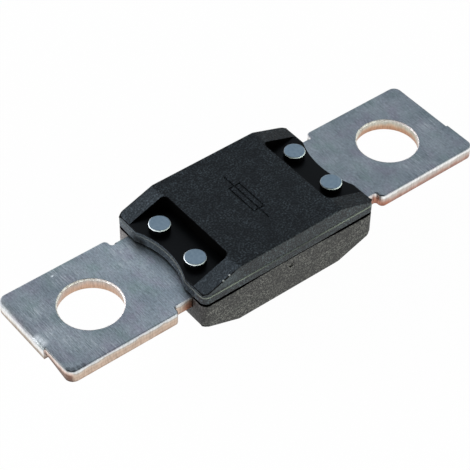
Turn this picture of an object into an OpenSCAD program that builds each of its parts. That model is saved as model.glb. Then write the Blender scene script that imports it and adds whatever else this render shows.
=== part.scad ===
// Bolt-down strip fuse: a stamped metal strip with two bolt holes, in a riveted two-part moulded housing.
// Millimetres. X runs along the strip, Y across it and Z up. The origin is the middle of the strip, halfway
// between the bolt holes. The ends of the strip fit into each other, as strips are cut one after the other from a
// long coil. The two housing halves differ in where their joint lies.

/* [Strip] */
// Length of the whole strip
strip_length = 69.2; // [62:0.1:90]
// How far one part of each end stands back, where the strip was cut off in two strokes
end_step = 0.25; // [0.05:0.05:0.6]
// Distance of that step from the middle of the strip, towards the front
end_step_offset = 2.7; // [0:0.1:5]
// How far the left end broke away under its edge in front of the step
end_break = 0.35; // [0.05:0.05:0.8]
// Width of each terminal blade
blade_width = 16.4; // [15:0.1:20]
// Thickness of the strip
strip_thickness = 1.95; // [1:0.05:2.4]
// Distance between the two bolt holes
bolt_pitch = 51; // [48:0.1:60]
// Diameter of each bolt hole
bolt_hole_d = 8.7; // [5:0.1:10.5]
// Radius of the four outer corners of the strip
blade_corner_r = 1.2; // [0.2:0.1:4]
// Distance between the inner shoulders of the two blades
shoulder_span = 34.6; // [32:0.1:38]
// Radius of the shoulder corners
shoulder_corner_r = 0.7; // [0.1:0.05:1]
// Width of the strip inside the housing
neck_width = 13.9; // [11.5:0.1:15]
// Radius of the fillet between neck and shoulder
neck_fillet_r = 0.4; // [0.1:0.05:1]

/* [Fusible link] */
// Length of the narrowed part of the strip
link_length = 9.6; // [8.6:0.1:12]
// Width of the narrowed part of the strip
link_width = 6.4; // [5.8:0.1:9]
// Width of each slot that is cut into the link
link_slot_width = 1.1; // [0.6:0.05:1.4]
// Distance between the slots along the link
link_slot_pitch = 2.7; // [2.4:0.05:3.2]
// Width of metal that is left beside each slot
link_bridge_width = 1.7; // [0.8:0.05:2.4]
// Diameter of the tin spot on the link
tin_spot_d = 1.2; // [0.6:0.05:1.6]
// Height of the tin spot above the link
tin_spot_height = 0.5; // [0.2:0.05:1]

/* [Housing] */
// Length of the housing
housing_length = 29; // [27:0.1:31.8]
// Width of the housing
housing_width = 19.3; // [18.6:0.1:26]
// Height of the whole housing
housing_height = 10; // [9.2:0.1:14]
// Length of the flat top and of the flat bottom
plateau_length = 17.2; // [16.9:0.1:18]
// Radius of the upright corners
housing_corner_r = 1; // [0.5:0.1:2]
// Height of the straight band above and below the middle of the strip
band_height = 2.5; // [2:0.05:2.6]
// Height at which the sloping ends meet the outline above the band
slope_foot_height = 2.9; // [2.65:0.05:2.9]
// How far the housing above the band stands back from it
ledge_inset = 0.1; // [0.05:0.05:0.4]
// Radius of the round clearance that each bolt and washer need in the housing
washer_clearance_r = 12.25; // [11.9:0.05:13]

/* [Gate mark] */
// Diameter of the round mark that the gate left on the front of the lower half
gate_mark_d = 0.9; // [0.5:0.1:1.5]
// Depth of that mark
gate_mark_depth = 0.15; // [0.05:0.05:0.3]

/* [Chamber] */
// Thickness of the roof and of the floor of the inner chamber
chamber_roof = 1.4; // [1:0.1:2]
// Thickness of the wall between the chamber and each pocket
chamber_end_wall = 1.5; // [1:0.1:2.2]
// Radius of the chamber's corners
chamber_corner_r = 1; // [0.3:0.1:2]
// Clearance of the strip in the channel of the lower half, at each side
strip_clearance = 0.2; // [0.05:0.05:0.5]

/* [Pockets and rivets] */
// Distance of each pocket's back wall from the middle of the housing
pocket_start = 8.35; // [8.05:0.05:8.4]
// Width of each pocket
pocket_width = 14; // [12:0.1:15]
// Height of the pocket floor above the middle of the strip
pocket_floor_height = 2.95; // [2.8:0.05:3.4]
// Radius of the pocket's corners
pocket_corner_r = 0.9; // [0.3:0.1:1.5]
// Distance between the rivets along the housing
rivet_pitch_x = 23.1; // [22.4:0.1:23.6]
// Distance between the rivets across the housing
rivet_pitch_y = 7.76; // [6:0.02:9.4]
// Diameter of each rivet head
rivet_head_d = 3; // [2.4:0.1:3.4]
// Height of each rivet head
rivet_head_height = 1.1; // [0.5:0.05:1.5]
// Diameter of the rivet shank
rivet_shank_d = 2; // [1:0.05:2.2]
// Clearance between the shank and its holes, all round
rivet_clearance = 0.05; // [0.02:0.01:0.2]
// Width of the chamfer round each rivet head
rivet_chamfer = 0.15; // [0.05:0.05:0.3]
// Diameter of the hollow in the closed end of each rivet
rivet_hollow_d = 1.2; // [0.4:0.1:1.6]
// Depth of that hollow
rivet_hollow_depth = 0.6; // [0.2:0.1:1]

/* [Locating pegs] */
// Diameter of the pegs that line the halves up
peg_d = 1.2; // [0.6:0.1:1.4]
// Height of the pegs
peg_height = 0.9; // [0.4:0.1:1.2]
// Distance of the pegs from the middle, along the housing
peg_x = 5.5; // [3:0.1:9]
// Clearance round and above the pegs
peg_clearance = 0.08; // [0.02:0.01:0.2]

/* [Mark on the flat top] */
// Length of the line of the engraved fuse symbol
mark_length = 9.6; // [5:0.1:13]
// Length of the symbol's rectangle
mark_box_length = 5.6; // [3:0.1:8]
// Width of the symbol's rectangle
mark_box_width = 2; // [1:0.1:4]
// Width of the engraved line
mark_line_width = 0.26; // [0.15:0.01:0.5]
// Depth of the engraving
mark_depth = 0.15; // [0.05:0.01:0.4]

/* [Hidden] */

// Number of facets round a full circle, for display only
$fn = 72;
// Extra length that makes a cut pass right through a face
over = 1;

bolt_x = bolt_pitch / 2;
strip_top = strip_thickness / 2;
housing_top = housing_height / 2;
slope_run = (housing_length - plateau_length) / 2 - ledge_inset;
slope_drop = housing_top - slope_foot_height;
chamber_length = 2 * (pocket_start - chamber_end_wall);
chamber_width = neck_width;
chamber_top = housing_top - chamber_roof;
rivet_grip = 2 * pocket_floor_height;
peg_y = (housing_width + chamber_width) / 4;

// Turns the shape round by half a turn about Z as well, so that both ends get it
module both_ends() {
    children();
    rotate([0, 0, 180]) children();
}

// Outline of the housing, with the round clearances cut out of its ends, drawn back by inset
module housing_outline(inset) {
    corner_r = max(housing_corner_r - inset, 0.1);
    half_length = housing_length / 2 - inset;
    half_width = housing_width / 2 - inset;
    difference() {
        rounded_rectangle(half_length, half_width, corner_r);
        for (side = [-1, 1])
            translate([side * bolt_x, 0]) circle(r = washer_clearance_r + inset, $fn = 180);
    }
}

// Rectangle with round corners, given as half sizes
module rounded_rectangle(half_length, half_width, corner_r) {
    square([2 * (half_length - corner_r), 2 * half_width], center = true);
    square([2 * half_length, 2 * (half_width - corner_r)], center = true);
    for (x = [-1, 1], y = [-1, 1])
        translate([x * (half_length - corner_r), y * (half_width - corner_r)]) circle(r = corner_r);
}

// Housing half above the height from, seen from the side: a flat top between two sloping ends
module slope_profile(from) {
    foot_x = plateau_length / 2 + slope_run;
    reach = foot_x + over;
    reach_z = slope_foot_height - over * slope_drop / slope_run;
    polygon([
        [-reach, from],
        [reach, from],
        [reach, max(reach_z, from)],
        [plateau_length / 2, housing_top],
        [-plateau_length / 2, housing_top],
        [-reach, max(reach_z, from)]
    ]);
}

// Outer form of one housing half, from the height joint up to its flat top
module housing_form(joint) {
    translate([0, 0, joint]) linear_extrude(band_height - joint) housing_outline(0);
    intersection() {
        translate([0, 0, joint]) linear_extrude(housing_top - joint) housing_outline(ledge_inset);
        rotate([90, 0, 0])
            linear_extrude(housing_width + 2 * over, center = true) slope_profile(joint);
    }
}

// Pocket with upright walls and a level floor, open towards the bolt
module pocket() {
    pocket_reach = housing_length / 2 + over - pocket_start;
    translate([pocket_start, 0, pocket_floor_height])
        linear_extrude(housing_top)
            translate([pocket_reach, 0])
                rounded_rectangle(pocket_reach, pocket_width / 2, pocket_corner_r);
}

// One drilled hole or shank at each rivet
module at_rivets() {
    for (x = [-1, 1], y = [-1, 1])
        translate([x * rivet_pitch_x / 2, y * rivet_pitch_y / 2, 0]) children();
}

// The two places where the halves are pegged together
module at_pegs() {
    both_ends() translate([peg_x, peg_y, 0]) children();
}

// What both halves have cut away above the height joint: chamber, pockets and rivet holes
module half_cuts(joint) {
    translate([0, 0, joint - over])
        linear_extrude(chamber_top - joint + over)
            rounded_rectangle(chamber_length / 2, chamber_width / 2, chamber_corner_r);
    both_ends() pocket();
    at_rivets() translate([0, 0, joint - over])
        cylinder(d = rivet_shank_d + 2 * rivet_clearance, h = housing_top - joint + over);
}

// Line symbol of a fuse, engraved across the flat top
module mark_outline() {
    square([mark_line_width, mark_length], center = true);
    difference() {
        square([mark_box_width, mark_box_length], center = true);
        square([mark_box_width - 2 * mark_line_width, mark_box_length - 2 * mark_line_width], center = true);
    }
}

module upper_housing() {
    color("#3c3f42") difference() {
        housing_form(strip_top);
        half_cuts(strip_top);
        at_pegs() translate([0, 0, strip_top - over])
            cylinder(d = peg_d + 2 * peg_clearance, h = over + peg_height + peg_clearance);
        translate([0, 0, housing_top - mark_depth]) linear_extrude(over) mark_outline();
    }
}

module lower_housing() {
    color("#36383a") difference() {
        union() {
            mirror([0, 0, 1]) housing_form(-strip_top);
            at_pegs() translate([0, 0, strip_top - over]) cylinder(d = peg_d, h = over + peg_height);
        }
        mirror([0, 0, 1]) half_cuts(-strip_top);
        translate([0, 0, strip_top])
            cube(
                [housing_length + 2 * over, neck_width + 2 * strip_clearance, 2 * strip_thickness],
                center = true
            );
        translate([0, gate_mark_depth - housing_width / 2, 0]) rotate([90, 0, 0])
            cylinder(d = gate_mark_d, h = over);
    }
}

// Rectangle with round corners from from_x to to_x, centred across the strip
module rounded_block(from_x, to_x, width, corner_r) {
    translate([(from_x + to_x) / 2, 0]) rounded_rectangle((to_x - from_x) / 2, width / 2, corner_r);
}

// Concave fillet in the corner between the neck's edge and the shoulder
module neck_fillet() {
    translate([shoulder_span / 2, neck_width / 2]) difference() {
        translate([-neck_fillet_r, -over]) square([neck_fillet_r + over, neck_fillet_r + over]);
        translate([-neck_fillet_r, neck_fillet_r]) circle(r = neck_fillet_r);
    }
}

// Outline of one terminal blade with its neck, towards +X. Between from_y and to_y its end is longer by the end step
module blade_outline(from_y, to_y) {
    shoulder_x = shoulder_span / 2;
    end_x = strip_length / 2;
    rounded_block(shoulder_x, end_x - end_step, blade_width, blade_corner_r);
    intersection() {
        rounded_block(shoulder_x, end_x, blade_width, blade_corner_r);
        translate([shoulder_x + blade_corner_r, from_y]) square([end_x, to_y - from_y]);
    }
    rounded_block(shoulder_x, (shoulder_x + end_x) / 2, blade_width, shoulder_corner_r);
    translate([link_length / 2, -neck_width / 2]) square([shoulder_x - link_length / 2 + over, neck_width]);
    for (side = [0, 1]) mirror([0, side]) neck_fillet();
}

// Narrowed middle of the strip: three slots from alternate sides make it a zigzag
module link_outline() {
    difference() {
        square([link_length + over, link_width], center = true);
        for (i = [-1, 0, 1]) {
            side = i == 0 ? 1 : -1;
            translate([i * link_slot_pitch, side * link_bridge_width])
                square([link_slot_width, link_width], center = true);
        }
    }
}

// Wedge that broke away under the shorter part of the left end, deep at the step and running out at the corner
module end_break_cut() {
    edge_x = end_step - strip_length / 2;
    translate([0, 0, -strip_top - over]) linear_extrude(strip_top + over) polygon([
        [edge_x + end_break, -end_step_offset],
        [edge_x - over, -end_step_offset],
        [edge_x - over, blade_corner_r - blade_width / 2],
        [edge_x, blade_corner_r - blade_width / 2]
    ]);
}

module fuse_strip() {
    color("#9aa2a8") difference() {
        translate([0, 0, -strip_top]) linear_extrude(strip_thickness) {
            blade_outline(-blade_width, -end_step_offset);
            mirror([1, 0, 0]) blade_outline(-end_step_offset, blade_width);
            link_outline();
        }
        end_break_cut();
        for (side = [-1, 1])
            translate([side * bolt_x, 0, -strip_top - over])
                cylinder(d = bolt_hole_d, h = strip_thickness + 2 * over, $fn = 120);
        at_rivets() translate([0, 0, -strip_top - over])
            cylinder(d = rivet_shank_d + 2 * rivet_clearance, h = strip_thickness + 2 * over);
    }
}

// Low domed spot on the first limb of the link
module tin_spot() {
    dome_r = (tin_spot_d * tin_spot_d / 4 + tin_spot_height * tin_spot_height) / (2 * tin_spot_height);
    color("#c9ccce")
        translate([link_slot_pitch / 2, 0, strip_top + tin_spot_height - dome_r])
            intersection() {
                sphere(r = dome_r);
                translate([0, 0, dome_r - tin_spot_height]) cylinder(d = 2 * tin_spot_d, h = 2 * tin_spot_height);
            }
}

// Rivet on the Z axis: the set head on top, and the closed end with its hollow underneath
module rivet() {
    head_r = rivet_head_d / 2;
    shank_r = rivet_shank_d / 2;
    grip_z = rivet_grip / 2;
    end_z = grip_z + rivet_head_height;
    color("#a9b4bd") rotate_extrude() polygon([
        [0, -end_z + rivet_hollow_depth],
        [rivet_hollow_d / 2, -end_z],
        [head_r - rivet_chamfer, -end_z],
        [head_r, -end_z + rivet_chamfer],
        [head_r, -grip_z],
        [shank_r, -grip_z],
        [shank_r, grip_z],
        [head_r, grip_z],
        [head_r, end_z - rivet_chamfer],
        [head_r - rivet_chamfer, end_z],
        [0, end_z]
    ]);
}

// Rivet at one corner of the pattern: x and y are -1 or 1
module rivet_at(x, y) {
    translate([x * rivet_pitch_x / 2, y * rivet_pitch_y / 2, 0]) rivet();
}

lower_housing();
fuse_strip();
tin_spot();
upper_housing();
rivet_at(-1, -1);  // rivet_left_front
rivet_at(-1, 1);  // rivet_left_back
rivet_at(1, -1);  // rivet_right_front
rivet_at(1, 1);  // rivet_right_back
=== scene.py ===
import math

import bmesh
import bpy
from mathutils import Matrix, Vector


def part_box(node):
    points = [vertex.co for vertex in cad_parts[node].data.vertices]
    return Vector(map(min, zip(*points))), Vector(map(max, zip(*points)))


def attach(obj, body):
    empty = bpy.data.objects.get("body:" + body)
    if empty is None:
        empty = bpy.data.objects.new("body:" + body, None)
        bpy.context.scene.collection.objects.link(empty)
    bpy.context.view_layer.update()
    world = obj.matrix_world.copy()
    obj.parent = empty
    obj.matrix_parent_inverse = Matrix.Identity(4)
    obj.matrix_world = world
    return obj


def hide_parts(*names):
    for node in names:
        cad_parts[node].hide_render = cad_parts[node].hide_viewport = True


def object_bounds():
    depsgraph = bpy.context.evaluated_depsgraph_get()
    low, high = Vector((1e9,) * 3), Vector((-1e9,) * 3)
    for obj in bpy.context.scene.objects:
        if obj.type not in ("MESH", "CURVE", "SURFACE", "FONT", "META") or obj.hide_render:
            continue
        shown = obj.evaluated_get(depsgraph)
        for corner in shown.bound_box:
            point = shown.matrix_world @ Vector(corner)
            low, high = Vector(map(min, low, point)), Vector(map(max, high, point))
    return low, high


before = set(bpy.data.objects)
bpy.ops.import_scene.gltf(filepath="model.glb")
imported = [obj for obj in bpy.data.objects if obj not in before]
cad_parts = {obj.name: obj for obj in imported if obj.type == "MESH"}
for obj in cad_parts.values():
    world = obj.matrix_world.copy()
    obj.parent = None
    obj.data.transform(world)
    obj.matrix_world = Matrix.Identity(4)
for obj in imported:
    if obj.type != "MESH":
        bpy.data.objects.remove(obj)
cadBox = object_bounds()
mm = 0.001
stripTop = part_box("fuse_strip")[1].z
housingLow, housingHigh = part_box("upper_housing")
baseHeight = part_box("lower_housing")[0].z
boltAt = 25.5  # mm from the middle to each bolt hole
print("frame loaded")


# camera, found by fitting the real fuse's edges to the picture
cameraSettings = {
    "azimuth": -39.05,  # degrees round the fuse, where 0 looks along +Y
    "elevation": 45.39,  # degrees above the horizon
    "roll": 1.04,  # degrees
    "distance": 237.3,  # mm from the middle of the strip
    "acrossShift": -1.44,  # mm, how far the camera stands to the side
    "upShift": -1.59,  # mm
    "focalPixels": 1756.7,  # focal length in pixels of the picture
    "pictureWidth": 470,
}


def makeCamera(s):
    az, el, roll = (math.radians(s[k]) for k in ("azimuth", "elevation", "roll"))
    back = Vector((math.sin(az) * math.cos(el), -math.cos(az) * math.cos(el), math.sin(el)))
    right = Vector((0, 0, 1)).cross(back).normalized()
    up = back.cross(right)
    data = bpy.data.cameras.new("camera")
    data.sensor_width = 36
    data.lens = s["focalPixels"] / s["pictureWidth"] * data.sensor_width
    data.clip_start, data.clip_end = 0.01, 10
    camera = bpy.data.objects.new("camera", data)
    place = (back * s["distance"] + right * s["acrossShift"] + up * s["upShift"]) * mm
    turned = Matrix((right, up, back)).transposed().to_4x4()
    camera.matrix_world = Matrix.Translation(place) @ turned @ Matrix.Rotation(roll, 4, "Z")
    bpy.context.scene.collection.objects.link(camera)
    bpy.context.scene.camera = camera


makeCamera(cameraSettings)
print("camera made")


# materials

def linear(hexColour):
    # sRGB hex to the linear colour that a shader takes
    parts = [int(hexColour[i:i + 2], 16) / 255 for i in (1, 3, 5)]
    return [c / 12.92 if c <= 0.04045 else ((c + 0.055) / 1.055) ** 2.4 for c in parts] + [1]


def addNode(tree, kind, inputs=None, **settings):
    # one node, with its settings, its values and its incoming links; inputs go by name or by number
    node = tree.nodes.new(kind)
    for name, value in settings.items():
        setattr(node, name, value)
    for key, value in (inputs or {}).items():
        if isinstance(value, bpy.types.NodeSocket):
            tree.links.new(value, node.inputs[key])
        else:
            node.inputs[key].default_value = value
    return node


def newMaterial(name):
    material = bpy.data.materials.new(name)
    material.use_nodes = True
    tree = material.node_tree
    coords = addNode(tree, "ShaderNodeTexCoord").outputs["Object"]
    return material, tree, tree.nodes["Principled BSDF"], coords


def grain(tree, coords, spacing, detail=3.0):
    # noise whose blobs measure about spacing, in mm along X, Y and Z
    scaled = addNode(tree, "ShaderNodeMapping", {"Vector": coords, "Scale": [1 / (d * mm) for d in spacing]})
    return addNode(tree, "ShaderNodeTexNoise", {0: scaled.outputs[0], "Scale": 1.0, "Detail": detail}).outputs[0]


def spread(tree, value, low, high, outLow=0.0, outHigh=1.0):
    # the stretch from low to high becomes outLow to outHigh
    return addNode(tree, "ShaderNodeMapRange", {
        "Value": value, "From Min": low, "From Max": high, "To Min": outLow, "To Max": outHigh}).outputs[0]


def mixed(tree, factor, first, second):
    return addNode(tree, "ShaderNodeMix", {0: factor, 6: first, 7: second}, data_type="RGBA").outputs[2]


def bumped(tree, shader, height, depth, strength=1.0):
    bump = addNode(tree, "ShaderNodeBump", {"Height": height, "Distance": depth * mm, "Strength": strength})
    tree.links.new(bump.outputs[0], shader.inputs["Normal"])


def ramp(tree, factor, stops):
    # colours along factor, given as {place: colour}
    node = addNode(tree, "ShaderNodeValToRGB", {0: factor})
    elements = node.color_ramp.elements
    while len(elements) < len(stops):
        elements.new(0.5)
    for element, place in zip(elements, sorted(stops)):
        element.position = place
    for element, place in zip(elements, sorted(stops)):
        element.color = linear(stops[place])
    return node.outputs[0]


def maths(tree, operation, first, second):
    return addNode(tree, "ShaderNodeMath", {0: first, 1: second}, operation=operation).outputs[0]


def closeTo(tree, coords, places, radius, edge=0.5):
    # 1 within radius of one of the places, in mm, and 0 away from all of them
    total = 0.0
    for place in places:
        gap = addNode(tree, "ShaderNodeVectorMath", {0: coords, 1: [c * mm for c in place]}, operation="DISTANCE")
        inside = spread(tree, gap.outputs["Value"], radius * mm, radius * edge * mm)
        total = maths(tree, "MAXIMUM", inside, total)
    return total


plasticLooks = {
    # upper half outside: dull and finely grained from a spark-eroded mould
    "fineGrainedPolyamide": {"colour": "#0a0d11", "paleColour": "#454d54", "roughness": 0.55, "specular": 0.42,
                             "relief": 1.25, "marked": True},
    # lower half outside: another mould with a coarser and paler grain
    "coarseGrainedPolyamide": {"colour": "#1c1b1b", "paleColour": "#6f6b6b", "roughness": 0.6, "specular": 0.5,
                               "relief": 1.3, "marked": True},
    # pockets: smoother where the mould's pins were ground, and darker in colour and specular as painted shade in the
    # recess
    "polishedShadedPocketPolyamide": {"colour": "#020203", "paleColour": "#060708", "roughness": 0.36, "specular": 0.22,
                          "relief": 0.12, "marked": False},
    # pocket walls: smooth, and painted black as shade from every side
    "paintedShadePocketWallPolyamide": {"colour": "#010101", "paleColour": "#020202", "roughness": 0.5, "specular": 0.06,
                       "relief": 0.1, "marked": False},
    # joint faces between the halves: painted shade, black because they lie in the dark, so that they show as a black
    # line
    "paintedShadeJointPolyamide": {"colour": "#010101", "paleColour": "#010101", "roughness": 0.9, "specular": 0.0,
                       "relief": 0.1, "marked": False},
}
plasticGrain = {
    "width": 0.24,  # mm, a little coarser than real so that it shows
    "depth": 0.07,  # mm
    "patchWidth": 2.2,  # mm, faint clouding
    "paintedHighlightColour": "#71746f",  # painted highlight on the rounded step above the band
    "paintedHighlightFrom": 2.38,  # mm, height of that step's rounding
    "paintedHighlightTo": 2.56,  # mm
    "nickColour": "#8f9192",
    "nickPlaces": [(-10.3, -9.4, 4.4), (-11.3, -9.43, 4.05), (11.4, -6.6, 3.95), (11.0, -6.3, 4.1)],  # mm
    "nickRadius": 0.17,  # mm
    "paintedEndLightShare": 0.36,  # painted light: how much paler the far part of the left end is made, for the light it gets from the left
    "paintedSlopeLightShare": 0.22,  # painted light: how much paler the left slopes are made, for the light they get from the left
    "lineAndShadeColour": "#010101",  # the dark line round the left slopes' outline, also the colour of the painted shade where the left arc begins
    "lineFrom": 9.0,  # mm from the middle
    "lineWidth": 0.16,  # mm
    "footLength": 14.4,  # mm, half the length of the slopes' outline
    "footWidth": 9.55,  # mm, half its width
    "footCorner": 0.9,  # mm, its corner radius
    "paintedShadePlaces": [(-14.4, 5.3, 1.7), (-14.2, 4.6, 1.5)],  # painted shade where the left arc begins and faces away from the light
    "paintedShadeRadius": 1.1,  # mm
}


def makePlastic(name, s, g):
    # glass-filled polyamide, injection moulded, with pale fibres at the surface
    material, tree, shader, coords = newMaterial(name)
    along, across, height = addNode(tree, "ShaderNodeSeparateXYZ", {0: coords}).outputs
    fine = grain(tree, coords, [g["width"]] * 3, 2.0)
    clouds = grain(tree, coords, [g["patchWidth"]] * 3, 2.0)
    amount = maths(tree, "MULTIPLY", spread(tree, fine, 0.46, 0.7), spread(tree, clouds, 0.3, 0.7, 0.3, 1.0))
    colour = mixed(tree, amount, linear(s["colour"]), linear(s["paleColour"]))
    if s["marked"]:
        level = maths(tree, "ABSOLUTE", height, 0.0)
        # painted highlight: a pale band along the rounded step above the band, fainter in the middle and at the arc
        wearAndHighlightMask = maths(tree, "MULTIPLY", spread(tree, level, g["paintedHighlightFrom"] * mm, (g["paintedHighlightFrom"] + 0.05) * mm),
                       spread(tree, level, g["paintedHighlightTo"] * mm, (g["paintedHighlightTo"] - 0.05) * mm))
        fromMiddle = maths(tree, "ABSOLUTE", along, 0.0)
        paintedHighlight = maths(tree, "MULTIPLY", wearAndHighlightMask, spread(tree, fromMiddle, 3 * mm, 9 * mm, 0.3, 1.0))
        fromAxis = maths(tree, "ABSOLUTE", across, 0.0)
        paintedHighlight = maths(tree, "MULTIPLY", paintedHighlight, spread(tree, fromAxis, 6 * mm, 9 * mm, 0.35, 1.0))
        paintedHighlight = maths(tree, "MULTIPLY", paintedHighlight, spread(tree, along, -14.5 * mm, -14.0 * mm, 0.5, 1.0))
        colour = mixed(tree, paintedHighlight, colour, linear(g["paintedHighlightColour"]))
        # painted light: the left slopes are mixed towards the pale colour
        paintedSlopeLight = maths(tree, "MULTIPLY", spread(tree, along, -8.5 * mm, -9.0 * mm, 0.0, g["paintedSlopeLightShare"]),
                      spread(tree, height, 2.87 * mm, 2.9 * mm))
        # painted light: the far part of the left end is mixed towards the pale colour
        paintedEndLight = maths(tree, "MULTIPLY", spread(tree, along, -12.3 * mm, -12.6 * mm, 0.0, g["paintedEndLightShare"]),
                    spread(tree, level, 2.9 * mm, 2.87 * mm))
        paintedEndLight = maths(tree, "MULTIPLY", paintedEndLight, spread(tree, across, -3 * mm, 5 * mm))
        paintedEndLight = maths(tree, "MULTIPLY", paintedEndLight, spread(tree, across, 9.5 * mm, 9.0 * mm))
        colour = mixed(tree, maths(tree, "ADD", paintedSlopeLight, paintedEndLight), colour, linear(s["paleColour"]))
        # distance from the straight part of the slopes' outline, which has a round corner of footCorner
        sideways = [maths(tree, "MAXIMUM", maths(tree, "SUBTRACT", maths(tree, "ABSOLUTE", axis, 0.0),
                                                 (half - g["footCorner"]) * mm), 0.0)
                    for axis, half in ((along, g["footLength"]), (across, g["footWidth"]))]
        outwards = addNode(tree, "ShaderNodeCombineXYZ", {0: sideways[0], 1: sideways[1]}).outputs[0]
        outwards = addNode(tree, "ShaderNodeVectorMath", {0: outwards}, operation="LENGTH").outputs["Value"]
        inner = g["footCorner"] - g["lineWidth"]
        line = maths(tree, "MULTIPLY", spread(tree, outwards, inner * mm, (inner + 0.02) * mm),
                     spread(tree, outwards, (g["footCorner"] - 0.003) * mm, (g["footCorner"] - 0.02) * mm))
        line = maths(tree, "MULTIPLY", line, spread(tree, height, 2.85 * mm, 2.88 * mm))
        line = maths(tree, "MULTIPLY", line, spread(tree, along, -g["lineFrom"] * mm, -(g["lineFrom"] + 0.6) * mm))
        colour = mixed(tree, line, colour, linear(g["lineAndShadeColour"]))
        # painted shade where the left arc begins
        paintedShade = maths(tree, "MULTIPLY", closeTo(tree, coords, g["paintedShadePlaces"], g["paintedShadeRadius"], 0.2), 0.9)
        colour = mixed(tree, paintedShade, colour, linear(g["lineAndShadeColour"]))
        nicks = closeTo(tree, coords, g["nickPlaces"], g["nickRadius"])
        colour = mixed(tree, nicks, colour, linear(g["nickColour"]))
    tree.links.new(colour, shader.inputs["Base Color"])
    shader.inputs["Roughness"].default_value = s["roughness"]
    shader.inputs["IOR"].default_value = 1.5
    shader.inputs["Specular IOR Level"].default_value = s["specular"]
    bumped(tree, shader, fine, g["depth"] * s["relief"])
    return material


tinLook = {
    "colour": "#e2e7eb",
    "darkColour": "#c9d1d8",
    "violetTint": "#d8cedd",
    "greenTint": "#bfd3ce",
    "scratchColour": "#fbfdff",
    "nickColour": "#eff3fd",
    "scratchWidth": 0.1,  # mm across a scratch, drawn coarser than real so that it shows
    "scratchLength": 2.2,  # mm along it, across the strip
    "smudgeWidth": 4.0,  # mm
    "roughness": 0.38,
    "rubbedPlaces": [(-31.8, 2.6, 1), (-32.4, -0.6, 1), (-31.6, -3.8, 1), (-25.4, 6.4, 1), (-17.0, 4.6, 1),
                     (-28.4, -6.4, 1), (25.4, -6.0, 1), (26.6, -6.6, 1), (32.4, -1.0, 1)],
    "rubbedRadius": 2.8,
    "nickPlaces": [(-26.65, 7.05, 1)],
    "nickRadius": 0.2,
    "turnedUpPlaces": [(-34.1, -0.6, 1), (-34.0, -1.2, 1), (-33.9, -1.8, 1)],
    "turnedUpRadius": 0.75,
    "soiledPlaces": [(-34.0, -7.3, 1), (-33.5, -7.7, 1), (-32.8, -7.85, 1), (-32.1, -7.9, 1)],
    "soiledRadius": 0.45,
}


def makeTin(s):
    # dull electroplated tin, rubbed by handling: soft blue-grey with fine scratches across the strip
    material, tree, shader, coords = newMaterial("dullTinPlate")
    along = addNode(tree, "ShaderNodeSeparateXYZ", {0: coords}).outputs[0]
    scratches = grain(tree, coords, [s["scratchWidth"], s["scratchLength"], 1.0], 2.0)
    fibres = grain(tree, coords, [0.16, 0.45, 1.0], 3.0)
    smudges = grain(tree, coords, [s["smudgeWidth"]] * 3, 3.0)
    tints = grain(tree, coords, [2.4, 3.2, 5.0], 2.0)
    base = mixed(tree, spread(tree, smudges, 0.35, 0.65), linear(s["colour"]), linear(s["darkColour"]))
    base = mixed(tree, spread(tree, tints, 0.52, 0.72, 0.0, 0.6), base, linear(s["violetTint"]))
    base = mixed(tree, spread(tree, tints, 0.46, 0.28, 0.0, 0.6), base, linear(s["greenTint"]))
    wearAndHighlightMask = closeTo(tree, coords, s["rubbedPlaces"], s["rubbedRadius"], 0.2)
    strength = spread(tree, wearAndHighlightMask, 0.0, 1.0, 0.4, 1.0)
    light = maths(tree, "MULTIPLY", spread(tree, scratches, 0.5, 0.72), strength)
    base = mixed(tree, light, base, linear(s["scratchColour"]))
    # the fibres vary the tone; on top of that a painted reflection: the tin is made darker towards the right blade's
    # end and lighter on the left blade towards the housing
    shade = maths(tree, "MULTIPLY", spread(tree, fibres, 0.32, 0.68, 0.76, 1.12),
                  spread(tree, along, -5 * mm, 20 * mm, 1.0, 0.86))
    shade = maths(tree, "MULTIPLY", shade, maths(tree, "ADD", 1.0, maths(
        tree, "MULTIPLY", spread(tree, along, -25 * mm, -15 * mm, 0.0, 0.24), spread(tree, along, 5 * mm, 0.0))))
    shade = maths(tree, "MULTIPLY", shade, spread(tree, scratches, 0.5, 0.28, 1.0, 0.75))
    soiled = closeTo(tree, coords, s["soiledPlaces"], s["soiledRadius"])
    shade = maths(tree, "MULTIPLY", shade, spread(tree, soiled, 0.0, 1.0, 1.0, 0.55))
    grey = addNode(tree, "ShaderNodeCombineColor", {0: shade, 1: shade, 2: shade}).outputs[0]
    base = addNode(tree, "ShaderNodeMix", {0: 1.0, 6: base, 7: grey}, data_type="RGBA",
                   blend_type="MULTIPLY").outputs[2]
    # nicks and the turned-up corner beside the end step are torn, so they scatter the light
    torn = maths(tree, "MAXIMUM", closeTo(tree, coords, s["nickPlaces"], s["nickRadius"]),
                 maths(tree, "MULTIPLY", closeTo(tree, coords, s["turnedUpPlaces"], s["turnedUpRadius"], 0.2), 0.5))
    deep = maths(tree, "MULTIPLY", maths(tree, "MULTIPLY", light, wearAndHighlightMask), 0.4)
    torn = maths(tree, "MAXIMUM", torn, deep)
    tree.links.new(mixed(tree, torn, base, linear(s["nickColour"])), shader.inputs["Base Color"])
    tree.links.new(maths(tree, "SUBTRACT", 1.0, torn), shader.inputs["Metallic"])
    tree.links.new(spread(tree, smudges, 0.3, 0.7, s["roughness"] - 0.05, s["roughness"] + 0.08),
                   shader.inputs["Roughness"])
    bumped(tree, shader, scratches, 0.006)
    return material


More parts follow.
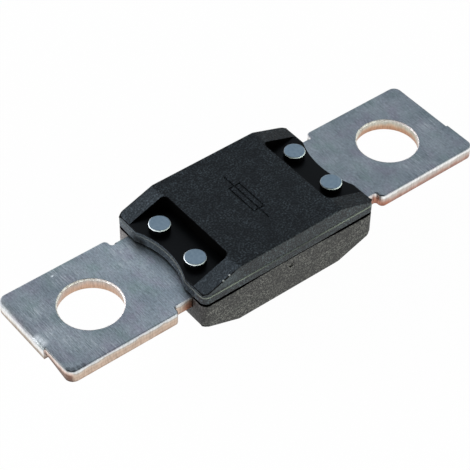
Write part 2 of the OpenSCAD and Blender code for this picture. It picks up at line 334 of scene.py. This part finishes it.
shearLook = {
    # colours down the punched edge, from the top face (0) to the lower face (1)
    "leftSide": {0.0: "#f0f3f5", 0.2: "#e9eae8", 0.3: "#c0b4a8", 0.38: "#dccab9", 0.6: "#cdb4a0", 0.8: "#d6bfac",
                 1.0: "#b0927e"},
    "rightSide": {0.0: "#ffffff", 0.24: "#fcfcfa", 0.36: "#d2ccc5", 0.55: "#cfbfb6", 0.72: "#c2a294", 0.85: "#b0887a",
                  1.0: "#a37b6f"},
    "leftEndBack": {0.0: "#f8fafc", 0.45: "#fbfbfb", 0.62: "#f4f0eb", 0.72: "#c4b8ab", 1.0: "#a08e7e"},
    # the front part of the left end: its dark lower part is painted shade, where the lower half of the edge lies set
    # back in shadow
    "leftEndFront": {0.0: "#e6e4e4", 0.24: "#f6e6dd", 0.36: "#d8bcae", 0.46: "#8e7062", 1.0: "#6f5347"},
    "leftHole": {0.0: "#e4e5e4", 0.14: "#c2b8ae", 0.3: "#d0bbad", 0.6: "#d0ae97", 1.0: "#c8a489"},
    "rightHole": {0.0: "#dcdfd4", 0.3: "#ccc6b8", 0.45: "#d0b8a0", 0.62: "#c49c80", 1.0: "#bb8c6e"},
    "copperAndShadeColour": "#b8765a",  # bare copper in the notches, and painted shade where the edge runs in beside the housing
    "copperAndShadePlaces": [(17.3, -7.2, -0.4), (18.0, -8.2, -0.9), (-15.0, -6.95, -0.6), (15.2, -6.95, 0)],  # mm
    "copperAndShadeRadius": 1.3,  # mm
    "streakWidth": 0.22,  # mm
    "waveWidth": 1.4,  # mm, along the ragged lines between the zones
    "waveDepth": 0.09,  # share of the thickness
    "roughness": 0.42,
}


def makeShearedEdge(s):
    # punched edge of tinned copper: tin drawn down from the top face, then torn bare copper
    material, tree, shader, coords = newMaterial("shearedCopperEdge")
    along, across, height = addNode(tree, "ShaderNodeSeparateXYZ", {0: coords}).outputs
    waves = grain(tree, coords, [s["waveWidth"]] * 3, 4.0)
    streaks = grain(tree, coords, [s["streakWidth"], s["streakWidth"], 1.2], 3.0)
    depth = maths(tree, "ADD", spread(tree, height, stripTop, -stripTop),
                  spread(tree, waves, 0.3, 0.7, -s["waveDepth"], s["waveDepth"]))
    onRight = spread(tree, along, -0.5 * mm, 0.5 * mm)
    colour = mixed(tree, onRight, ramp(tree, depth, s["leftSide"]), ramp(tree, depth, s["rightSide"]))
    inEnd = spread(tree, along, -33.6 * mm, -34.0 * mm)
    inFront = spread(tree, across, -2.6 * mm, -2.8 * mm)
    ends = mixed(tree, inFront, ramp(tree, depth, s["leftEndBack"]), ramp(tree, depth, s["leftEndFront"]))
    colour = mixed(tree, inEnd, colour, ends)
    for side, look in ((-1, "leftHole"), (1, "rightHole")):
        inHole = closeTo(tree, addNode(tree, "ShaderNodeCombineXYZ", {0: along, 1: across}).outputs[0],
                         [(side * boltAt, 0, 0)], 5.2, 0.92)
        colour = mixed(tree, inHole, colour, ramp(tree, depth, s[look]))
    # bare copper in the notches, and painted shade beside the housing
    bareCopperAndShade = closeTo(tree, coords, s["copperAndShadePlaces"], s["copperAndShadeRadius"], 0.3)
    colour = mixed(tree, maths(tree, "MULTIPLY", bareCopperAndShade, 0.8), colour, linear(s["copperAndShadeColour"]))
    shade = spread(tree, streaks, 0.3, 0.7, 0.76, 1.08)
    grey = addNode(tree, "ShaderNodeCombineColor", {0: shade, 1: shade, 2: shade}).outputs[0]
    colour = addNode(tree, "ShaderNodeMix", {0: 1.0, 6: colour, 7: grey}, data_type="RGBA",
                     blend_type="MULTIPLY").outputs[2]
    tree.links.new(colour, shader.inputs["Base Color"])
    shader.inputs["Metallic"].default_value = 1.0
    shader.inputs["Roughness"].default_value = s["roughness"]
    bumped(tree, shader, streaks, 0.015)
    return material


zincLooks = {
    # pressed head: bright, faintly blue and slightly uneven
    "blueZincPlate": {"colour": "#b9cad6", "darkColour": "#a8bccb", "roughness": 0.32, "metallic": 1.0},
    # side of the head: painted shade and reflection, nearly black as it mirrors the dark pocket
    "paintedShadeZincSide": {"colour": "#1c1f22", "darkColour": "#131517", "roughness": 0.5, "metallic": 1.0},
    # rounded rim of the head: a painted highlight, pale and partly matt so that it shows as a pale line
    "paintedHighlightZincRim": {"colour": "#e9eef1", "darkColour": "#d5dfe6", "roughness": 0.4, "metallic": 0.3},
}
zincPatchWidth = 0.45  # mm
# tin that the punch drew round the bolt holes' upper rims, made pale and partly matt as a painted highlight: it shows
# as a pale, warm line
smearedTinHighlightLook = {"colour": "#f0ebec", "darkColour": "#bdb2ae", "roughness": 0.45, "metallic": 0.3}


def makePlating(name, s):
    # thin plating with faint patches
    material, tree, shader, coords = newMaterial(name)
    patches = grain(tree, coords, [zincPatchWidth] * 3, 3.0)
    tree.links.new(mixed(tree, spread(tree, patches, 0.35, 0.65), linear(s["colour"]), linear(s["darkColour"])),
                   shader.inputs["Base Color"])
    shader.inputs["Metallic"].default_value = s["metallic"]
    shader.inputs["Roughness"].default_value = s["roughness"]
    bumped(tree, shader, patches, 0.004)
    return material


plastics = {name: makePlastic(name, look, plasticGrain) for name, look in plasticLooks.items()}
tin = makeTin(tinLook)
shearedEdge = makeShearedEdge(shearLook)
zincs = [makePlating(name, look) for name, look in zincLooks.items()]
smearedTinHighlight = makePlating("smearedTinRimHighlight", smearedTinHighlightLook)
print("materials made")


# pieces

def copyOfNode(node):
    # the CAD piece as a joined-up mesh with one face to each flat
    bm = bmesh.new()
    bm.from_mesh(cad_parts[node].data)
    bmesh.ops.remove_doubles(bm, verts=bm.verts, dist=1e-7)
    bmesh.ops.dissolve_limit(bm, angle_limit=math.radians(0.1), verts=bm.verts, edges=bm.edges)
    return bm


def bevelEdges(bm, chosen, width, segments=2):
    edges = [e for e in bm.edges if len(e.link_faces) == 2 and chosen(e)]
    bmesh.ops.bevel(bm, geom=edges, offset=width * mm, offset_type="OFFSET", segments=segments, profile=0.5,
                    affect="EDGES", material=-1, clamp_overlap=False)


def finishPiece(bm, name, materials, nodes, roundest=None):
    mesh = bpy.data.meshes.new(name)
    for face in bm.faces:
        face.smooth = True
    for edge in bm.edges:
        edge.smooth = edge.calc_face_angle(0) < math.radians(50)
    bm.to_mesh(mesh)
    bm.free()
    for material in materials:
        mesh.materials.append(material)
    piece = bpy.data.objects.new(name, mesh)
    bpy.context.scene.collection.objects.link(piece)
    if roundest:
        rounded = piece.modifiers.new("roundedEdges", "BEVEL")
        rounded.limit_method = "WEIGHT"
        rounded.width = roundest * mm
        rounded.segments = 3
        rounded.use_clamp_overlap = False
    weighted = piece.modifiers.new("flatsStayFlat", "WEIGHTED_NORMAL")
    weighted.keep_sharp = True
    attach(piece, "root")
    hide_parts(*nodes)
    return piece


housingSettings = {
    "rimRadius": 0.14,  # mm, along the long edges of the flat top and of the slopes
    "kneeRadius": 0.3,  # mm, where the flats turn into the slopes
    "pocketRadius": 0.04,  # mm, round the pockets
    "arcRadius": 0.04,  # mm, along the ends of the housing
    "bandRadius": 0.09,  # mm, on the step above the band
    "seamRadius": 0.05,  # mm
    "uprightRadius": 0.1,  # mm, where each round clearance meets the end
    "jointRise": 0.18,  # mm, how far the joint's lower lip lies above the strip in the middle of the sides
    "endRise": -0.07,  # mm, the same near the ends
    "middleGap": 0.13,  # mm between the halves in the middle of the long sides
    "endGap": 0.46,  # mm between them near the ends, where they stand a little apart
    "closedTo": 3.5,  # mm from the middle, where the gap begins to widen
    "openFrom": 9.5,  # mm from the middle, where it is fully open
    "stripGap": 0.22,  # mm between the strip and the upper half
    "cuts": [-13, -11, -9.5, -8, -6.5, -5, -3.5, 0, 3.5, 5, 6.5, 8, 9.5, 11, 13],  # mm, so that the joint can curve
}
# heights and places of the housing's edges, in mm
kneeAt, footHeight, bandHeight = 8.6, 2.9, 2.5
pocketFrom, pocketHalfWidth, stripHalfWidth = 8.35, 7.0, 6.95


def makeHousing(node, s):
    bm = copyOfNode(node)
    top, endAt = housingHigh.z / mm, housingHigh.x / mm
    for x in s["cuts"]:
        nearJoint = [v for v in bm.verts if abs(v.co.z - stripTop) < 1e-6]
        parts = {part for v in nearJoint for part in [*v.link_edges, *v.link_faces]}
        parts |= {v for part in parts for v in part.verts}
        bmesh.ops.bisect_plane(bm, geom=list(parts), plane_co=(x * mm, 0, 0), plane_no=(1, 0, 0), dist=1e-7)
    seamVerts = {v for v in bm.verts if abs(v.co.z - stripTop) < 1e-6}
    for vert in seamVerts:
        share = (abs(vert.co.x / mm) - s["closedTo"]) / (s["openFrom"] - s["closedTo"])
        share = max(0, min(share, 1))
        share = share * share * (3 - 2 * share)
        gap = s["middleGap"] + (s["endGap"] - s["middleGap"]) * share
        rise = s["jointRise"] + (s["endRise"] - s["jointRise"]) * share
        besideStrip = abs(vert.co.y) > stripHalfWidth * mm
        if node == "upper_housing":
            vert.co.z += (rise + gap if besideStrip else s["stripGap"]) * mm
        elif besideStrip:
            vert.co.z += rise * mm
    rivets = [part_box(n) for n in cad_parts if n.startswith("rivet")]
    rivetAxes = [((low + high) / 2 / mm).to_2d() for low, high in rivets]

    def onSeam(e):
        return all(v in seamVerts for v in e.verts)

    def radiusOf(e):
        p, q = (v.co / mm for v in e.verts)
        m = (p + q) / 2
        angle = math.degrees(e.calc_face_angle())
        if angle < 15 or not e.is_convex:
            return 0
        if any((m.to_2d() - axis).length < 1.3 for axis in rivetAxes):
            return 0
        if abs(m.x) < 7.5 and abs(m.y) < 9.2 and abs(m.z) < 4.9:
            return 0
        if abs(m.x) < 2 and abs(m.y) < 6:
            return 0
        if abs(m.z) < bandHeight - 0.1:
            onOutline = abs(m.y) > 9.4 or abs(m.x) > 13
            if onSeam(e) and onOutline:
                return s["seamRadius"]
            return s["uprightRadius"] if onOutline and angle > 40 and abs(m.y) > 5 and not onSeam(e) else 0
        if abs(abs(p.z) - bandHeight) < 0.01 and abs(abs(q.z) - bandHeight) < 0.01:
            return s["bandRadius"]
        if abs(p.x) > 12.5 and abs(q.x) > 12.5 and max(abs(p.z), abs(q.z)) < footHeight + 0.02:
            return 0
        if abs(abs(p.z) - top) < 0.01 and abs(abs(q.z) - top) < 0.01 and angle < 30:
            return s["kneeRadius"]
        if min(abs(p.y), abs(q.y)) > 9.4:
            return s["rimRadius"]
        inPocket = abs(m.x) < endAt - 2.5 or abs(abs(m.y) - pocketHalfWidth) < 0.01
        return s["pocketRadius"] if inPocket else s["arcRadius"]

    weights = bm.edges.layers.float.new("bevel_weight_edge")
    for edge in bm.edges:
        if len(edge.link_faces) == 2:
            edge[weights] = radiusOf(edge) / s["kneeRadius"]
    # the joint faces and the pocket walls take black painted-shade looks, and the pocket floors a darker,
    # painted-shade look
    outside, pocket, shadedJointFace, shadedPocketWall = 0, 1, 2, 3
    for face in bm.faces:
        m = face.calc_center_median() / mm
        inPocket = abs(m.x) > pocketFrom - 0.01 and abs(m.y) < pocketHalfWidth + 0.01 and abs(m.z) > footHeight
        if inPocket and abs(m.z) < top - 0.01:
            face.material_index = shadedPocketWall if abs(face.normal.z) < 0.5 else pocket
        elif all(v in seamVerts for v in face.verts):
            face.material_index = shadedJointFace
        else:
            face.material_index = outside
    outsideLook = "fineGrainedPolyamide" if node == "upper_housing" else "coarseGrainedPolyamide"
    looks = [plastics[name] for name in (outsideLook, "polishedShadedPocketPolyamide", "paintedShadeJointPolyamide", "paintedShadePocketWallPolyamide")]
    return finishPiece(bm, node + "_shell", looks, [node], s["kneeRadius"])


for node in ("lower_housing", "upper_housing"):
    makeHousing(node, housingSettings)
print("housing made")


stripSettings = {
    "rollover": 0.26,  # mm, the rounding that the punch drew down along the top edges
    "burr": 0.04,  # mm, on the lower edges
    "holeRadius": 4.35,  # mm
    "tornFrom": 0.0,  # mm, height below which the holes tear wider
    "tornBy": 0.2,  # mm, how much wider each hole is at its lower end, on the radius
    "endStepAt": -2.7,  # mm, across the strip
    "sagLength": 1.1,  # mm, over which the left end is drawn down behind the step
    "sag": 0.34,  # mm, how far down at the edge
}


def makeStrip(s):
    bm = copyOfNode("fuse_strip")
    top = stripTop / mm
    everything = list(bm.verts) + list(bm.edges) + list(bm.faces)
    bmesh.ops.bisect_plane(bm, geom=everything, plane_co=(0, 0, s["tornFrom"] * mm), plane_no=(0, 0, 1), dist=1e-7)
    for vert in bm.verts:
        axis = Vector((math.copysign(boltAt * mm, vert.co.x), 0))
        away = vert.co.to_2d() - axis
        if away.length < 4.6 * mm and vert.co.z < -stripTop + 1e-6:
            wider = away.normalized() * (away.length + s["tornBy"] * mm)
            vert.co.x, vert.co.y = axis + wider

    def atHeight(e, z):
        m = (e.verts[0].co + e.verts[1].co) / 2 / mm
        level = all(abs(v.co.z / mm - z) < 0.001 for v in e.verts)
        return level and abs(m.x) > 13.0 and math.degrees(e.calc_face_angle()) > 40

    bevelEdges(bm, lambda e: atHeight(e, top), s["rollover"], 4)
    bevelEdges(bm, lambda e: atHeight(e, -top), s["burr"], 1)
    sagFrom = cadBox[0].x / mm + s["sagLength"]
    for x in (sagFrom, sagFrom - 0.25, sagFrom - 0.5, sagFrom - 0.7):
        everything = list(bm.verts) + list(bm.edges) + list(bm.faces)
        bmesh.ops.bisect_plane(bm, geom=everything, plane_co=(x * mm, 0, 0), plane_no=(1, 0, 0), dist=1e-7)
    everything = list(bm.verts) + list(bm.edges) + list(bm.faces)
    bmesh.ops.bisect_plane(bm, geom=everything, plane_co=(0, (s["endStepAt"] + 0.05) * mm, 0), plane_no=(0, 1, 0),
                           dist=1e-7)
    for vert in bm.verts:
        share = (sagFrom - vert.co.x / mm) / s["sagLength"]
        if share > 0 and vert.co.z > stripTop - 0.5 * mm and vert.co.y / mm > s["endStepAt"] + 0.04:
            vert.co.z -= s["sag"] * share * share * mm
    plated, sheared, smearedTinAndHighlight = 0, 1, 2
    for face in bm.faces:
        isTop = face.normal.z > 0.55
        isBottom = face.normal.z < -0.9 and face.calc_center_median().z < -stripTop + 0.05 * mm
        face.material_index = plated if isTop or isBottom else sheared
        m = face.calc_center_median() / mm
        fromBolt = math.hypot(abs(m.x) - boltAt, m.y)
        if fromBolt < s["holeRadius"] + s["rollover"] and 0.05 < face.normal.z < 0.97:
            face.material_index = smearedTinAndHighlight
    return finishPiece(bm, "stamped_strip", [tin, shearedEdge, smearedTinHighlight], ["fuse_strip"])


makeStrip(stripSettings)
print("strip made")


rivetSettings = {
    "rimWidth": 0.15,  # mm
    "dish": 0.02,  # mm, how far the middle of the head is pressed in
    "steps": 64,
}


def makeRivet(node, s):
    low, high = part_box(node)
    centre = (low + high) / 2
    radius = (high.x - low.x) / 2
    half = (high.z - low.z) / 2
    headHeight, shankRadius, bend = 1.1 * mm, 1.0 * mm, s["rimWidth"] * mm
    hollowRadius, hollowDepth = 0.6 * mm, 0.6 * mm
    outline = [
        (0, half - s["dish"] * mm), (radius * 0.7, half - s["dish"] * mm), (radius - bend * 1.6, half),
        (radius - bend, half), (radius - bend * 0.5, half - bend * 0.13), (radius - bend * 0.13, half - bend * 0.5),
        (radius, half - bend), (radius, half - headHeight), (shankRadius, half - headHeight),
        (shankRadius, headHeight - half), (radius, headHeight - half),
        (radius, bend - half), (radius - bend * 0.3, bend * 0.3 - half), (radius - bend, -half),
        (hollowRadius + bend * 0.5, -half), (hollowRadius, bend * 0.5 - half), (0, hollowDepth - half),
    ]
    bm = bmesh.new()
    verts = [bm.verts.new((r, 0, z)) for r, z in outline]
    edges = [bm.edges.new(pair) for pair in zip(verts, verts[1:])]
    bmesh.ops.spin(bm, geom=verts + edges, cent=(0, 0, 0), axis=(0, 0, 1), angle=math.tau, steps=s["steps"],
                   use_merge=True)
    bmesh.ops.remove_doubles(bm, verts=bm.verts, dist=1e-8)
    bmesh.ops.recalc_face_normals(bm, faces=bm.faces)
    # the head's side takes the painted-shade zinc and its rim the painted-highlight zinc
    head, side, rim = 0, 1, 2
    for face in bm.faces:
        steepness = abs(face.normal.z)
        face.material_index = head if steepness > 0.9 else rim if steepness > 0.1 else side
    bmesh.ops.translate(bm, vec=centre, verts=bm.verts)
    return finishPiece(bm, node + "_body", zincs, [node])


for node in ("rivet_left_front", "rivet_left_back", "rivet_right_front", "rivet_right_back"):
    makeRivet(node, rivetSettings)
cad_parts["tin_spot"].data.materials.clear()
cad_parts["tin_spot"].data.materials.append(tin)
print("rivets made")


# stage
stageSettings = {
    "floorSize": 3.0,  # m
    "floorGap": 0.02,  # mm below the fuse, so that the two flats don't lie in one plane
    "floorColour": "#f4f4f4",
    "litShare": 0.02,  # how much of the floor's look in the picture is lit, so that a soft shadow stays
    "glowColour": "#f2f4f4",  # the room low down, on the softboxes' sides
    "dimColour": "#5c6166",  # the room low down, elsewhere
    "climb": 0.4,  # how much higher the glow reaches on the softboxes' sides
    "nearColour": "#1c1f22",  # the room behind the camera, higher up
    "farColour": "#a0aab3",  # the room beyond the fuse
    "zenithColour": "#30353a",
}


def makeStage(s):
    bm = bmesh.new()
    bmesh.ops.create_grid(bm, x_segments=1, y_segments=1, size=s["floorSize"] / 2)
    bmesh.ops.translate(bm, vec=(0, 0, baseHeight - s["floorGap"] * mm), verts=bm.verts)
    mesh = bpy.data.meshes.new("floor")
    bm.to_mesh(mesh)
    bm.free()
    floor = bpy.data.objects.new("floor", mesh)
    bpy.context.scene.collection.objects.link(floor)
    material, tree, shader, coords = newMaterial("paleTable")
    shader.inputs["Roughness"].default_value = 0.9
    shader.inputs["Specular IOR Level"].default_value = 0.0
    shader.inputs["Base Color"].default_value = linear(s["floorColour"])
    rays = addNode(tree, "ShaderNodeLightPath")
    seen = addNode(tree, "ShaderNodeMath", {0: rays.outputs["Is Camera Ray"], 1: rays.outputs["Is Glossy Ray"]},
                   operation="MAXIMUM").outputs[0]
    seen = addNode(tree, "ShaderNodeMath", {0: seen, 1: rays.outputs["Is Transmission Ray"]},
                   operation="MAXIMUM").outputs[0]
    white = addNode(tree, "ShaderNodeEmission", {"Color": [1, 1, 1, 1], "Strength": 1.0})
    share = addNode(tree, "ShaderNodeMath", {0: seen, 1: 1 - s["litShare"]}, operation="MULTIPLY").outputs[0]
    both = addNode(tree, "ShaderNodeMixShader", {0: share, 1: shader.outputs[0], 2: white.outputs[0]})
    tree.links.new(both.outputs[0], tree.nodes["Material Output"].inputs["Surface"])
    mesh.materials.append(material)


def makeWorld(s):
    # a room that glows low down, is dark behind the camera above that, and is mid grey beyond the fuse
    world = bpy.data.worlds.new("softStudio")
    world.use_nodes = True
    tree = world.node_tree
    direction = addNode(tree, "ShaderNodeTexCoord").outputs["Generated"]
    towardsCamera = [math.sin(math.radians(-50)), -math.cos(math.radians(-50)), 0]
    near = addNode(tree, "ShaderNodeVectorMath", {0: direction, 1: towardsCamera}, operation="DOT_PRODUCT").outputs["Value"]
    up = addNode(tree, "ShaderNodeSeparateXYZ", {0: direction}).outputs[2]
    sides = mixed(tree, spread(tree, near, -0.35, 0.25), linear(s["farColour"]), linear(s["nearColour"]))
    above = mixed(tree, spread(tree, up, 0.85, 0.98), sides, linear(s["zenithColour"]))
    towardsLight = [math.sin(math.radians(35)), -math.cos(math.radians(35)), 0]
    facing = addNode(tree, "ShaderNodeVectorMath", {0: direction, 1: towardsLight}, operation="DOT_PRODUCT")
    facing = maths(tree, "ABSOLUTE", facing.outputs["Value"], 0.0)
    glow = mixed(tree, spread(tree, facing, 0.3, 0.85), linear(s["dimColour"]), linear(s["glowColour"]))
    mirrored = maths(tree, "MULTIPLY", spread(tree, near, 0.3, 0.7),
                     addNode(tree, "ShaderNodeLightPath").outputs["Is Glossy Ray"])
    glow = mixed(tree, mirrored, glow, linear(s["glowColour"]))
    lowered = maths(tree, "SUBTRACT", up, spread(tree, facing, 0.5, 0.9, 0.0, s["climb"]))
    colour = mixed(tree, spread(tree, lowered, 0.12, 0.4), glow, above)
    tree.links.new(colour, tree.nodes["Background"].inputs["Color"])
    bpy.context.scene.world = world


def addLight(name, azimuth, elevation, distance, width, height, power, colour):
    # a soft light that faces the fuse; azimuth and elevation are the camera's kind
    az, el = math.radians(azimuth), math.radians(elevation)
    back = Vector((math.sin(az) * math.cos(el), -math.cos(az) * math.cos(el), math.sin(el)))
    data = bpy.data.lights.new(name, "AREA")
    data.shape = "RECTANGLE"
    data.size, data.size_y = width, height
    data.energy = power
    data.color = linear(colour)[:3]
    light = bpy.data.objects.new(name, data)
    light.visible_glossy = False  # the metal mirrors the softly glowing room, and no hard lamp in it
    light.matrix_world = Matrix.Translation(back * distance) @ (-back).to_track_quat("-Z", "Y").to_matrix().to_4x4()
    bpy.context.scene.collection.objects.link(light)


makeStage(stageSettings)
makeWorld(stageSettings)
addLight("backLeftSoftbox", -128, 7, 0.6, 0.9, 0.25, 13.5, "#fdfeff")
addLight("frontRightSoftbox", 20, 7, 0.6, 0.9, 0.25, 6.4, "#f2ffea")
bpy.context.scene.view_settings.view_transform = "Standard"
print("stage and lights made")
